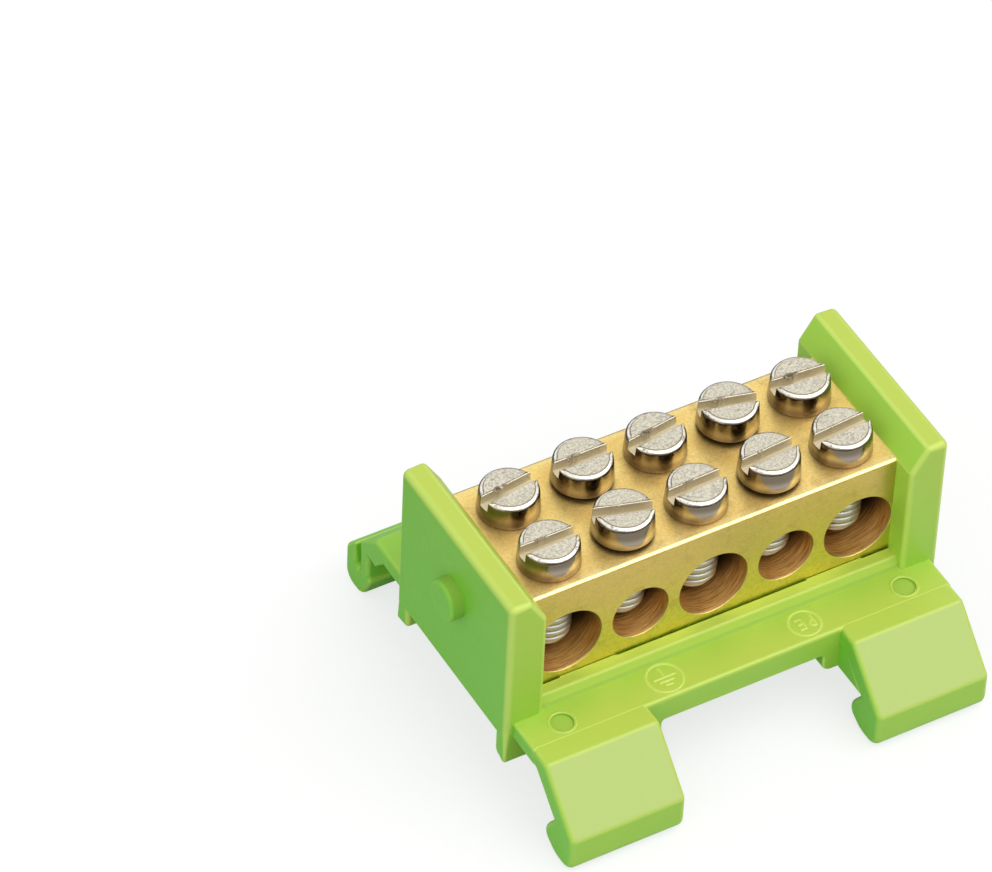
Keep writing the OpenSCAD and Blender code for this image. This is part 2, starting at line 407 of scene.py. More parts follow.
def grain_group():
    """The node group that all materials share for their grain: soft noise, spread from 0 to 1."""
    if GRAIN in bpy.data.node_groups:
        return bpy.data.node_groups[GRAIN]
    tree = bpy.data.node_groups.new(GRAIN, "ShaderNodeTree")
    tree.interface.new_socket("Where", in_out="INPUT", socket_type="NodeSocketVector")
    for name in ("Scale", "Detail", "Roughness", "Low", "High"):
        tree.interface.new_socket(name, in_out="INPUT", socket_type="NodeSocketFloat")
    tree.interface.new_socket("Value", in_out="OUTPUT", socket_type="NodeSocketFloat")
    given = add_node(tree, "NodeGroupInput").outputs
    inputs = {"Vector": given["Where"]}
    inputs.update({name: given[name] for name in ("Scale", "Detail", "Roughness")})
    cloud = add_node(tree, "ShaderNodeTexNoise", inputs).outputs["Fac"]
    add_node(tree, "NodeGroupOutput", {0: ramp(tree, cloud, given["Low"], given["High"])})
    return tree


def grain(tree, where, scale, low=0.3, high=0.7, detail=3.0, rough=0.55):
    """A value from 0 to 1 that varies softly from place to place."""
    inputs = {"Where": where, "Scale": scale, "Detail": detail, "Roughness": rough, "Low": low, "High": high}
    return add_node(tree, "ShaderNodeGroup", inputs, node_tree=grain_group()).outputs["Value"]


def apart(tree, where):
    """Coordinates along x, y and z, each as a socket of its own."""
    return add_node(tree, "ShaderNodeSeparateXYZ", {0: where}).outputs


def facing(tree, way):
    """How squarely the surface faces a direction, 1 at most."""
    normal = add_node(tree, "ShaderNodeNewGeometry").outputs["Normal"]
    return measure(tree, "DOT_PRODUCT", normal, Vector(way).normalized())


def stretched(tree, where, scale):
    """Coordinates scaled by a different amount along each axis."""
    inputs = {0: where, 1: scale}
    return add_node(tree, "ShaderNodeVectorMath", inputs, operation="MULTIPLY").outputs[0]


def bump(tree, height, strength, distance):
    """A normal that follows a height."""
    inputs = {"Height": height, "Strength": strength, "Distance": distance}
    return add_node(tree, "ShaderNodeBump", inputs).outputs["Normal"]


def empty_tree(owner):
    """The node tree of a material or a world, emptied."""
    owner.use_nodes = True
    owner.node_tree.nodes.clear()
    return owner.node_tree


def new_material(name):
    """An empty material, its node tree and its coordinates in millimetres."""
    material = bpy.data.materials.new(name)
    tree = empty_tree(material)
    place = add_node(tree, "ShaderNodeTexCoord").outputs["Object"]
    return material, tree, stretched(tree, place, (1 / MM, 1 / MM, 1 / MM))


def add_shader(tree, colour, rough, normal, **more):
    """The shader of a material, with further inputs by name."""
    inputs = {"Base Color": colour, "Roughness": rough, "Normal": normal, **more}
    shader = add_node(tree, "ShaderNodeBsdfPrincipled", inputs)
    add_node(tree, "ShaderNodeOutputMaterial", {"Surface": shader.outputs[0]})


def plastic_material(look):
    """Moulded plastic with painted light and shade: yellower facing the light, greener in painted shade, with a
    painted sheen on slopes, painted highlights on edges and painted shade in recesses.
    """
    material, tree, where = new_material("green_plastic")
    along, depth, height = apart(tree, where)
    boss = maths(tree, "GREATER_THAN", maths(tree, "ABSOLUTE", along), PLATE_OUT + PAST)
    level = ramp(tree, facing(tree, (0, 0, 1)), 0.9, 0.98)
    level = times(tree, level, maths(tree, "LESS_THAN", height, BASE_TOP + PAST))
    by_bar = maths(tree, "SUBTRACT", 1.0, ramp(tree, maths(tree, "ABSOLUTE", depth), 9.5, 14.0))
    # Painted light and shade: the lit and shaded colours mix by how each face turns to the light, and low
    # places, the bosses, the back and the base's top beside the bar get painted shade.
    lit = maths(tree, "SUBTRACT", facing(tree, LIGHT_WAY), HEIGHT_SHIFT)
    for place, shift in (
        (grain(tree, where, 0.3), CLOUD_SHIFT),
        (ramp(tree, height, BASE_TOP - 1, BAR_TOP), HEIGHT_SHIFT),
        (boss, BOSS_SHIFT),
        (ramp(tree, depth, PLATE_Y, BASE_Y), BACK_SHIFT),
        (times(tree, level, by_bar), FLOOR_SHIFT),
    ):
        lit = times(tree, place, shift, lit)
    colour = mix_colour(tree, ramp(tree, lit, -0.5, 0.75, False), look.shade_colour, look.lit_plastic_colour)
    # Painted light on the right end plate's inner face.
    right_end = maths(tree, "GREATER_THAN", along, PLATE_IN - 1)
    inward = times(tree, facing(tree, (-1, 0, 0)), right_end)
    # Painted sheen on the front clips' slopes that face the light.
    outside = maths(tree, "LESS_THAN", depth, -BASE_Y)
    slope = times(tree, ramp(tree, facing(tree, (0, -1, 1)), 0.9, 0.985), outside)
    # The edge attribute gives painted highlight on edges and raised lines above 0, and painted shade in
    # recesses below 0.
    edge = add_node(tree, "ShaderNodeAttribute", attribute_name=EDGE).outputs["Fac"]
    glow = times(tree, maths(tree, "MAXIMUM", edge, 0.0), look.edge_highlight_share)
    recess = times(tree, maths(tree, "MINIMUM", edge, 0.0), -0.7)
    colour = coated(
        tree,
        colour,
        (ramp(tree, inward, 0.3, 0.8), look.wall_light_colour),
        (slope, look.slope_sheen_colour),
        (glow, look.edge_highlight_colour),
        (recess, look.recess_shade_colour),
    )
    rough = times(tree, grain(tree, where, 1.7, 0.2, 0.8), 0.1, look.plastic_rough)
    rough = times(tree, recess, 0.5, rough)
    normal = bump(tree, grain(tree, where, 6.0), 0.04, 0.1 * MM)
    add_shader(tree, colour, rough, normal, **{"Specular IOR Level": 0.45})
    return material


def brass_material(look):
    """Drawn brass: brushed and stained, with a painted highlight along its upper edges, painted shade on its
    sides, and turned, browner conductor holes with painted shade deep inside.
    """
    material, tree, where = new_material("brass")
    along, depth, height = apart(tree, where)
    outward = maths(tree, "ABSOLUTE", depth)
    way = maths(tree, "MODULO", maths(tree, "ADD", along, WAY_PITCH * WAYS / 2), WAY_PITCH)
    aside = maths(tree, "SUBTRACT", way, WAY_PITCH / 2)
    above = maths(tree, "SUBTRACT", height, HOLE_Z)
    squares = maths(tree, "ADD", maths(tree, "POWER", aside, 2.0), maths(tree, "POWER", above, 2.0))
    inside = maths(tree, "LESS_THAN", maths(tree, "SQRT", squares), LARGE_HOLE_R + 0.2)
    bore = times(tree, inside, maths(tree, "LESS_THAN", outward, BAR_Y - 0.03))

    drawn = grain(tree, stretched(tree, where, (0.25, 9.0, 9.0)), 1.0, 0.2, 0.8, 4.0)
    skin = mix_colour(tree, grain(tree, where, 0.22), look.brass_colour, look.tarnish_colour)
    # Painted highlight along the upper edges.
    verge = ramp(tree, outward, BAR_Y - 1.2, BAR_Y - 0.6)
    # Painted shade on the upright sides, with painted reflected light lower down.
    upright = maths(tree, "ABSOLUTE", facing(tree, (0, 1, 0)))
    rise = ramp(tree, height, BASE_TOP + 1, BAR_TOP - 2)
    side = mix_colour(tree, rise, look.low_side_light_colour, look.side_shade_colour)
    specks = grain(tree, where, 3.6, 0.35, 0.7, 4.0, 0.7)
    stain = grain(tree, where, 0.5, 0.5, 0.75, 4.0, 0.65)
    dulled = times(tree, specks, look.specks, times(tree, stain, look.stains))
    skin = coated(
        tree,
        skin,
        (times(tree, drawn, 0.15), look.brushed_colour),
        (times(tree, verge, 0.75), look.edge_highlight_colour),
        (ramp(tree, upright, 0.6, 0.95), side),
        (dulled, look.stain_colour),
    )

    turned = grain(tree, stretched(tree, where, (0.4, 10.0, 0.4)), 1.0, 0.36, 0.64, 3.0, 0.7)
    wall = mix_colour(tree, turned, look.bore_colour, look.turned_colour)
    # Painted shade high and deep in each hole, and on its mouth.
    lower = times(tree, outward, 1.3, times(tree, above, -0.9))
    wall = mix_colour(tree, ramp(tree, lower, 5.8, 10.4), look.deep_shade_colour, wall)
    mouth = maths(tree, "GREATER_THAN", outward, BAR_Y - 0.16)
    wall = mix_colour(tree, times(tree, mouth, 0.6), wall, look.deep_shade_colour)
    rough = times(tree, bore, 0.15, times(tree, drawn, 0.05, 0.33))
    brushed = times(tree, specks, 0.12, times(tree, drawn, 0.12))
    normal = bump(tree, mix_value(tree, bore, brushed, turned), 0.3, 0.1 * MM)
    add_shader(tree, mix_colour(tree, bore, skin, wall), rough, normal, Metallic=1.0)
    return material


def nickel_material(look):
    """Plated steel: finely pitted on top of the heads, with painted highlights on their rims, painted
    reflections and shade on their sides, and darker in slots.
    """
    material, tree, where = new_material("plated_steel")
    _, depth, height = apart(tree, where)
    upward = facing(tree, (0, 0, 1))
    mark = add_node(tree, "ShaderNodeAttribute", attribute_name=SLOT).outputs["Fac"]
    slot = maths(tree, "MINIMUM", mark, 1.0)
    # Marks past 1 give painted shade in torn metal and under the curls.
    nick = maths(tree, "SUBTRACT", mark, slot)
    top = times(tree, ramp(tree, upward, 0.95, 0.995), maths(tree, "SUBTRACT", 1.0, slot))
    pits = grain(tree, where, 4.2, 0.34, 0.62, 4.0, 0.75)
    worn = mix_colour(tree, pits, look.pit_colour, look.top_colour)
    scratch = grain(tree, stretched(tree, where, (1.3, 3.6, 1.0)), 1.0, 0.64, 0.7, 2.0)
    worn = mix_colour(tree, times(tree, scratch, 0.55), worn, look.nick_dirt_and_shade_colour)
    head = maths(tree, "GREATER_THAN", height, BAR_TOP)
    # Painted reflection of the bar low on the heads' sides, painted shade on the back row and next to the bar,
    # and painted dark reflection below the rims.
    foot = mix_colour(tree, ramp(tree, depth, -1.0, 1.0), look.foot_reflection_colour, look.back_foot_shade_colour)
    foot = mix_colour(tree, ramp(tree, height, BAR_TOP + 0.45, BAR_TOP + 1.35), look.sole_shade_colour, foot)
    side = mix_colour(tree, ramp(tree, height, BAR_TOP + 0.7, BAR_TOP + 1.9), foot, look.side_shade_colour)
    side = mix_colour(tree, head, look.nickel_colour, side)
    # Painted highlight on the rims, broken up at random.
    rim = times(tree, ramp(tree, upward, 0.6, 0.88), head)
    chipped = grain(tree, where, 2.2, 0.54, 0.66)
    rim = times(tree, rim, times(tree, chipped, -0.7, 1.0))
    coats = ((rim, look.rim_highlight_colour), (top, worn), (slot, look.slot_colour), (nick, look.nick_dirt_and_shade_colour))
    rough = times(tree, top, 0.2, times(tree, head, -0.26, 0.44))
    rough = times(tree, slot, 0.4, rough)
    grit = times(tree, pits, times(tree, top, 0.9, 0.1))
    dents = times(tree, grain(tree, where, 1.4), maths(tree, "SUBTRACT", 1.0, top))
    grit = times(tree, dents, 0.7, grit)
    normal = bump(tree, grit, 0.35, 0.05 * MM)
    add_shader(tree, coated(tree, side, *coats), rough, normal, Metallic=1.0)
    return material


def amount(name, text, value, **more):
    """A number property, with any further settings."""
    return FloatProperty(name=name, description=text, default=value, **more)


def length(name, text, value):
    """A length property, in metres."""
    return amount(name, text, value, min=0, precision=5, unit="LENGTH")


def fraction(name, text, value):
    """A property that runs from 0 to 1."""
    return amount(name, text, value, min=0, max=1)


def colour(name, text, value):
    """A colour property."""
    return FloatVectorProperty(name=name, description=text, default=value, subtype="COLOR", min=0, max=1)


class CarrierLook(bpy.types.PropertyGroup):
    """Finish of the moulded carrier, with its painted light and shade."""

    edge_soft: length("Edge rounding", "Rounding of the moulding's edges", 0.4 * MM)
    clip_soft: length("Clip end rounding", "Rounding of the rail clips' ends", 0.6 * MM)
    root_step: length("Root step", "How far the clips' tops lie under the base", 0.03 * MM)
    mark_line: length("Mark line", "Width of the raised lines of the marks", 0.34 * MM)
    mark_rise: length("Mark rise", "Height of the raised lines of the marks", 0.07 * MM)
    # Lit and shaded plastic, painted shade in recesses, painted light on the right plate's inner face, a
    # painted sheen on slopes and painted highlights on edges.
    lit_plastic_colour: colour("Plastic", "Plastic that faces the light", (0.52, 0.655, 0.09))
    shade_colour: colour("Plastic in shade", "Plastic that turns away from the light", (0.20, 0.61, 0.04))
    recess_shade_colour: colour("Plastic in recesses", "Painted shade along inner corners", (0.25, 0.47, 0.05))
    wall_light_colour: colour("Plastic beside the bar", "Painted light on the right end plate's inner face", (0.41, 0.735, 0.075))
    slope_sheen_colour: colour("Plastic on slopes", "Painted sheen on the clips' slopes", (0.46, 0.60, 0.16))
    edge_highlight_colour: colour("Plastic at edges", "Painted highlight on rounded edges", (0.62, 0.80, 0.16))
    edge_highlight_share: fraction("Edge highlight", "How strong the painted highlight on edges is", 0.75)
    plastic_rough: fraction("Roughness", "Roughness of the plastic", 0.38)


class BarLook(bpy.types.PropertyGroup):
    """Finish of the brass bar, with its painted highlight and shade."""

    brass_colour: colour("Brass", "Clean brass", (1.0, 0.755, 0.26))
    tarnish_colour: colour("Tarnish", "Brass that has dulled", (0.86, 0.605, 0.18))
    brushed_colour: colour("Brushed", "Bright strokes along the bar", (0.95, 0.72, 0.32))
    # Painted highlight along the upper edges, painted shade on the upright sides and painted reflected light
    # low on them.
    edge_highlight_colour: colour("Edges", "Painted highlight along the bar's upper edges", (0.96, 0.765, 0.31))
    side_shade_colour: colour("Sides", "Painted shade on the bar's upright sides", (0.68, 0.505, 0.155))
    low_side_light_colour: colour("Lower sides", "Painted reflected light low on the bar's sides", (0.88, 0.69, 0.21))
    stain_colour: colour("Stains", "Brown of the specks and stains", (0.45, 0.28, 0.09))
    specks: fraction("Specks", "How strongly fine specks show", 0.3)
    stains: fraction("Stains", "How strongly stains show", 0.4)
    # Painted shade in the conductor holes.
    deep_shade_colour: colour("Hole depths", "Painted shade high and deep in the conductor holes", (0.07, 0.045, 0.025))
    bore_colour: colour("Holes", "Walls of the conductor holes", (0.56, 0.27, 0.065))
    turned_colour: colour("Turned rings", "Bright rings in the conductor holes", (1.0, 0.64, 0.23))


class ScrewLook(bpy.types.PropertyGroup):
    """Shape details and finish of the clamp screws, with their painted highlights, reflections and shade."""

    head_edge: length("Head edge", "Rounding of the head's upper edge", 0.42 * MM)
    face_line: length("Face line", "Size of the fine groove round the flat top", 0.06 * MM)
    slot_edge: length("Slot edge", "Rounding of the slot's edges", 0.07 * MM)
    thread_pitch: length("Thread pitch", "Rise of the thread in one turn", 0.8 * MM)
    thread_depth: length("Thread depth", "Depth of the thread", 0.24 * MM)
    tip_length: length("Tip length", "Length of the screw's rounded tip", 1.6 * MM)
    tip_taper: fraction("Tip taper", "Share of the width lost at the tip", 0.4)
    burr: length("Burr", "Size of the torn metal beside the slots", 0.32 * MM)
    nickel_colour: colour("Plating", "Threads", (0.46, 0.44, 0.385))
    # Painted reflection and shade on the heads' sides, and painted highlight on their rims.
    foot_reflection_colour: colour("Head feet", "Painted reflection of the bar low on the heads", (0.46, 0.415, 0.35))
    back_foot_shade_colour: colour("Back head feet", "Painted shade low on the back row's heads", (0.33, 0.28, 0.23))
    sole_shade_colour: colour("Head soles", "Painted shade next to the bar", (0.17, 0.135, 0.125))
    side_shade_colour: colour("Head sides", "Painted dark reflection below the rims", (0.20, 0.165, 0.12))
    rim_highlight_colour: colour("Head rims", "Painted highlight on the heads' rounded edges", (0.90, 0.88, 0.82))
    top_colour: colour("Head tops", "Matt tops of the heads", (0.74, 0.70, 0.57))
    pit_colour: colour("Pits", "Fine pits in the tops of the heads", (0.43, 0.395, 0.32))
    # The slot colour also paints the groove round each flat top as a dark line of painted shade.
    slot_colour: colour("Slots", "Metal in the driver slots", (0.58, 0.52, 0.385))
    # Dirt in the scratches, and painted shade in torn metal and curls.
    nick_dirt_and_shade_colour: colour("Nicks", "Dirt in scratches, painted shade in the slots' torn edges", (0.20, 0.15, 0.115))
    seed: IntProperty(name="Seed", description="Changes the burrs", default=7)


class StageLook(bpy.types.PropertyGroup):
    """Floor, light and camera."""

    sky: amount("Sky", "Strength of the light from all round", 0.64, min=0)
    dim_band: amount("Dim band", "How bright metal sees the horizon", 0.2, min=0)
    softbox: amount("Softbox", "How bright metal sees the front light", 1.4, min=0)
    card: fraction("Card", "How much light the floor throws back", 0.55)
    pool: fraction("Pool", "How bright metal sees the floor ahead", 0.95)
    key: amount("Key light", "Power of the large soft light", 3.8, min=0, unit="POWER")
    fill: amount("Fill light", "Power of the soft light at the left", 1.5, min=0, unit="POWER")
    azimuth: amount("Azimuth", "Camera's turn round the object", -0.549145617, subtype="ANGLE")
    elevation: amount("Elevation", "Camera's angle above the floor", 0.791656976, subtype="ANGLE")
    roll: amount("Roll", "Camera's turn about its view", 0.0480271471, subtype="ANGLE")
    distance: length("Distance", "Camera's distance", 691.42 * MM)
    slide_right: amount("Slide right", "Camera's shift to the right", -17.123 * MM, unit="LENGTH")
    slide_up: amount("Slide up", "Camera's shift upwards", 11.969 * MM, unit="LENGTH")
    lens: amount("Lens", "Focal length in millimetres", 261.9, unit="CAMERA")


class TerminalLook(bpy.types.PropertyGroup):
    """All settings of the terminal block."""

    carrier: PointerProperty(type=CarrierLook)
    bar: PointerProperty(type=BarLook)
    screws: PointerProperty(type=ScrewLook)
    stage: PointerProperty(type=StageLook)


def add_base(bm, look):
    """Base plate with its ejector marks, skirts, curbs and seat pads."""
    soft = look.edge_soft / MM
    plate = oblong((-BASE_Y, BASE_UNDER), (BASE_Y, BASE_TOP), [0, 0, soft, soft])
    end = BASE_X - TUCK
    slab = bmesh.new()
    add_shell(slab, plate, "X", -end, end, soft, soft, glow=0.45)
    shade(slab)
    bm.from_mesh(press_ejector_marks(new_piece("base_plate", slab)))
    leg_in, leg_out, root = 8.9, WEB_END, BASE_TOP - 1
    skirt = outline(
        [
            (-leg_out, RAIL_TOP), (-leg_in, RAIL_TOP), (-leg_in, SKIRT_UNDER), (leg_in, SKIRT_UNDER),
            (leg_in, RAIL_TOP), (leg_out, RAIL_TOP), (leg_out, root), (-leg_out, root),
        ],
        [0.5, 1.0, 0.4, 0.4, 1.0, 0.5, 0, 0],
    )
    add_shell(bm, skirt, "Y", SKIRT_IN, BASE_Y - TUCK, 0.15, 0.25, BOTH_SIDES)
    curb_in, curb_out, curb_foot = 8.05, 9.35, 9.85
    toe, toe_top = curb_foot + 1.0, BASE_TOP + 0.008
    bottom, top = BASE_TOP - BURIED, BASE_TOP + 1.0
    curb = outline(
        [
            (curb_in, bottom), (toe, bottom), (toe, toe_top),
            (curb_foot, toe_top), (curb_out, top), (curb_in, top),
        ],
        [0, 0, 0, 0.5, 0.4, 0.2],
    )
    add_shell(bm, curb, "X", -PLATE_IN - BURIED, PLATE_IN + BURIED, places=BOTH_SIDES, glow=0.1)
    pad_in, pad_out, pad_x, pad_half = 7.95, curb_in + 0.6, 13.6, 3.1
    pad = oblong((pad_in, bottom + TUCK), (pad_out, top - TUCK), [0, 0, 0, 0.1])
    add_shell(bm, pad, "X", pad_x - pad_half, pad_x + pad_half, 0.1, 0.1, FOUR)


def add_end_plates(bm):
    """Both end plates with their legs and bosses."""
    top_thick = 2.35
    under = BASE_UNDER + TUCK
    corners = [
        (PLATE_IN, under), (PLATE_OUT, under), (PLATE_OUT, PLATE_TOP),
        (PLATE_OUT - top_thick, PLATE_TOP), (PLATE_IN, BAR_TOP),
    ]
    bends = [0, 0, 0.75, 0.6, 0.6]
    front_soft, back_soft = 0.67, 0.5
    front = outline(corners, bends, [0.54, front_soft, front_soft, 0.54, 0.54])
    back = outline(corners, bends, [0.4, back_soft, back_soft, 0.4, 0.4])
    add_shell(bm, front, "Y", -PLATE_Y, PLATE_Y, front_soft, back_soft, BOTH_ENDS, far_shape=back)
    leg_play, leg_root = 0.75, BASE_UNDER + 1.2
    leg_out = PLATE_Y - TUCK
    for foot, bend, places in ((RAIL_TOP, 1.0, FRONT_PAIR), (RAIL_TOP + leg_play, 0.5, BACK_PAIR)):
        leg = oblong((PLATE_LEG_IN, foot), (leg_out, leg_root), [bend, 0.3, 0, 0])
        add_shell(bm, leg, "X", PLATE_IN + TUCK, PLATE_OUT - TUCK, 0.2, 0.6, places)
    boss_r, boss_z, boss_rise = 2.15, 17.95, 1.4
    # The boss's outline counts as a recess, so its wall takes painted shade.
    boss = circle((0, boss_z), boss_r, share=-1)
    add_shell(bm, boss, "X", PLATE_OUT - 1, PLATE_OUT + boss_rise, 0, 0.4, BOTH_ENDS, 0.8)


def add_clips(bm, look):
    """Rigid hooks with their webs at the front, and sprung clips with a release slot at the back."""
    soft = look.clip_soft / MM
    top = BASE_TOP - look.root_step / MM
    root = BASE_UNDER + TUCK
    bend = (ARM_OUT - top, top)
    shoulder = (LIP_OUT, ARM_OUT - LIP_OUT)
    arm_in, root_in = 22.75, BASE_Y - BURIED
    notch, nose, toe = (18.4, 4.35), (16.4, 1.51), (18.9, 0)
    hook = outline(
        [
            (root_in, root), (arm_in - root, root), notch, nose, toe,
            (LIP_OUT, 0), shoulder, bend, (root_in, top),
        ],
        [0, 0.4, 0.2, 1.2, 3.0, 1.6, 0.8, 0.6, 0],
    )
    add_shell(bm, hook, "X", CLIP_IN, BASE_X, soft, soft, FRONT_PAIR, 0.4)
    web_in, web_under, web_top = SKIRT_IN + TUCK, RAIL_TOP + TUCK, root + BURIED
    low_out, high_out = 18.5, 15.2
    web = outline(
        [(web_in, web_under), (low_out, web_under), (high_out, web_top), (web_in, web_top)], [0, 0, 0, 0]
    )
    add_shell(bm, web, "X", CLIP_IN + TUCK, WEB_END - TUCK, 0.2, 0.2, FRONT_PAIR)
    ledge, leg_in, slot_in, slot_out, floor = 6.45, 17.7, 19.15, 20.15, 3.1
    catch, nose, toe = (leg_in, 3.5), (17.05, 3.3), (18.8, 0)
    spring = outline(
        [
            (root_in, root), (arm_in - root, root), (arm_in - ledge, ledge), (leg_in, ledge), catch,
            nose, toe, (LIP_OUT, 0), shoulder, (slot_out, ARM_OUT - slot_out),
            (slot_out, floor), (slot_in, floor), (slot_in, ARM_OUT - slot_in), bend, (root_in, top),
        ],
        [0, 0.4, 0.2, 0.4, 0.2, 0.4, 1.5, 1.6, 0.8, 0.2, 0.48, 0.48, 0.2, 0.6, 0],
    )
    add_shell(bm, spring, "X", CLIP_IN, BASE_X, 0.5, 0.5, BACK_PAIR, 0.4)


def press_ejector_marks(slab):
    """The mesh of the base plate with its four shallow round marks."""
    bm = bmesh.new()
    mark = circle(EJECT_AT, EJECT_R, 40)
    floor = BASE_TOP - EJECT_DEEP
    add_shell(bm, mark, "Z", floor, BASE_TOP + 1, places=FOUR)
    shade(bm)
    punch = new_piece("ejector_punch", bm)
    press = slab.modifiers.new("ejector marks", "BOOLEAN")
    press.operation = "DIFFERENCE"
    press.solver = "EXACT"
    press.object = punch
    bake(slab)
    mesh = slab.data
    # The floors of the marks take painted shade.
    for vert, share in zip(mesh.vertices, mesh.attributes[EDGE].data):
        if abs(vert.co.z - floor * MM) < NEAR:
            share.value = -0.55
    bpy.data.objects.remove(punch)
    bpy.data.objects.remove(slab)
    return mesh


def mark_strokes():
    """Centre lines of the earth sign, the letters and the ejector marks' rims, each with its place and turn."""
    ring = [(cos(pi * k / 24), sin(pi * k / 24)) for k in range(49)]
    earth, letters, eject = (
        [[(radius * x, radius * y) for x, y in ring]] for radius in (EARTH_R, LETTERS_R, EJECT_R + EJECT_RIM)
    )
    earth += [[(0, 1.25), (0, 0.1)], [(-1.2, 0.1), (1.2, 0.1)]]
    earth += [[(-0.8, -0.4), (0.8, -0.4)], [(-0.4, -0.9), (0.4, -0.9)]]
    bowl = [(-0.85 + 0.42 * sin(a), 0.3 + 0.35 * cos(a)) for a in (0.3, 0.9, 1.57, 2.2, 2.8)]
    letters += [[(-0.95, -0.65), (-0.95, 0.65), *bowl, (-0.95, -0.05)]]
    letters += [[(0.85, 0.65), (0.15, 0.65), (0.15, -0.65), (0.85, -0.65)], [(0.15, 0), (0.7, 0)]]
    rings = [(eject, (EJECT_AT[0] * x, EJECT_AT[1] * y), 1) for x, y in FOUR]
    return [(earth, EARTH_AT, 1), (letters, LETTERS_AT, -1), *rings]


def add_marks(bm, look):
    """Low rounded ridges along the strokes of the marks."""
    curve = bpy.data.curves.new("marks", "CURVE")
    curve.dimensions = "3D"
    curve.bevel_depth = look.mark_line / 2
    curve.bevel_resolution = 2
    curve.use_fill_caps = True
    for strokes, centre, turn in mark_strokes():
        for stroke in strokes:
            line = curve.splines.new("POLY")
            line.points.add(len(stroke) - 1)
            for point, (x, y) in zip(line.points, stroke):
                point.co = ((centre[0] + turn * x) * MM, (centre[1] + turn * y) * MM, 0, 1)
    drawn = bpy.data.objects.new("marks", curve)
    ridges = bpy.data.meshes.new_from_object(drawn)
    bpy.data.objects.remove(drawn)
    before = len(bm.verts)
    bm.from_mesh(ridges)
    bm.verts.ensure_lookup_table()
    edge_layer = bm.verts.layers.float[EDGE]
    for vert in bm.verts[before:]:
        vert.co.z = vert.co.z * look.mark_rise / (look.mark_line / 2) + BASE_TOP * MM
        # The raised lines take a painted highlight, weaker on the ejector marks' rims.
        vert[edge_layer] = 0.8 if abs(vert.co.x) < CLIP_IN * MM else 0.2


class TERMINAL_OT_carrier(bpy.types.Operator):
    """Build the moulded carrier with rounded edges and its raised marks"""

    bl_idname = "terminal.make_carrier"
    bl_label = "Make carrier"

    def execute(self, context):
        look = context.scene.terminal.carrier
        base = bmesh.new()
        add_base(base, look)
        add_end_plates(base)
        add_clips(base, look)
        add_marks(base, look)
        bmesh.ops.remove_doubles(base, verts=base.verts[:], dist=1e-8)
        shade(base)
        piece = new_piece("moulded_carrier", base)
        flatten_faces(piece)
        hand_over(piece, plastic_material(look), "block", "green_plastic", "carrier")
        return {"FINISHED"}


class TERMINAL_OT_bar(bpy.types.Operator):
    """Finish the brass bar with its drilled and tapped holes"""

    bl_idname = "terminal.make_bar"
    bl_label = "Make bar"

    def execute(self, context):
        bm = bmesh.new()
        bm.from_mesh(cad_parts["terminal_bar"].data)
        bmesh.ops.remove_doubles(bm, verts=bm.verts[:], dist=1e-6)
        shade(bm)
        piece = new_piece("brass_bar", bm)
        flatten_faces(piece)
        hand_over(piece, brass_material(context.scene.terminal.bar), "block", "brass", "terminal_bar")
        return {"FINISHED"}


def half_head(look):
    """One side of a slotted head as an outline: an arc, and a chord along the slot."""
    side = SLOT_W / 2
    edge, slot_edge, widening = look.head_edge / MM, look.slot_edge / MM, 0.6
    open_angle = asin(side / HEAD_R)
    steps, chord_steps = 40, 48
    shape = []
    for k in range(steps + 1):
        angle = open_angle + (pi - 2 * open_angle) * k / steps
        point = HEAD_R * Vector((cos(angle), sin(angle)))
        shape.append((point, min(edge, slot_edge + widening * (point.y - side)), 0))
    last = shape[-1][0].x
    for k in range(1, chord_steps):
        shape.append((Vector((last - 2 * last * k / chord_steps, side)), slot_edge, 0))
    return shape


def mark_slot(bm, look, floor):
    """Marks the faces of the slot and of its softened edges, and the groove round the flat top, which takes the
    slot colour as a painted shade line.
    """
    slot_layer = bm.faces.layers.float[SLOT]
    half = SLOT_W * MM / 2
    groove_z = HEAD_H * MM - GROOVE_DEEP * look.face_line
    for face in bm.faces:
        heights = [vert.co.z for vert in face.verts]
        low, high = min(heights), max(heights)
        off_slot = max(abs(abs(vert.co.y) - half) for vert in face.verts)
        on_floor = high - low < NEAR and abs(low - floor * MM) < NEAR
        softened = low > floor * MM - NEAR and off_slot < 2 * look.slot_edge
        groove = any(abs(height - groove_z) < 0.3 * NEAR for height in heights)
        if off_slot < NEAR or on_floor:
            face[slot_layer] = 1
        elif groove or softened:
            face[slot_layer] = 0.8


def add_curl(bm, seed, size, place, room):
    """A small curl of torn metal that hangs over the slot's far edge."""
    slot_layer = bm.faces.layers.float[SLOT]
    spin = noise.noise(Vector((seed * 1.7, 0.3, place)))
    around, across = 14, 6
    start, sweep = 20, 250
    bend, thickness, squash = 0.4, 0.13, 0.8
    middle = SLOT_W / 2 - 0.15
    level = HEAD_H - 0.13 + min(room, 0.18)
    loops = []
    for i in range(around):
        angle = radians(start + sweep * i / (around - 1)) + spin
        thin = size * thickness * (0.4 + 0.6 * sin(pi * (i + 0.5) / around))
        loop = []
        for k in range(across):
            turn = 2 * pi * k / across
            out = size * bend + thin * cos(turn)
            x, y = place + out * cos(angle), middle + squash * out * sin(angle)
            loop.append(bm.verts.new(Vector((x, y, level + thin * sin(turn))) * MM))
        loops.append(loop)
    for first, second in zip(loops, loops[1:]):
        for k in range(across):
            # The curl's inner side takes painted shade.
            dark = abs(k - across // 2) <= 1
            face = bm.faces.new((first[k - 1], first[k], second[k], second[k - 1]))
            face[slot_layer] = 1.7 if dark else 0.5
    bm.faces.new(loops[0])
    bm.faces.new(loops[-1])


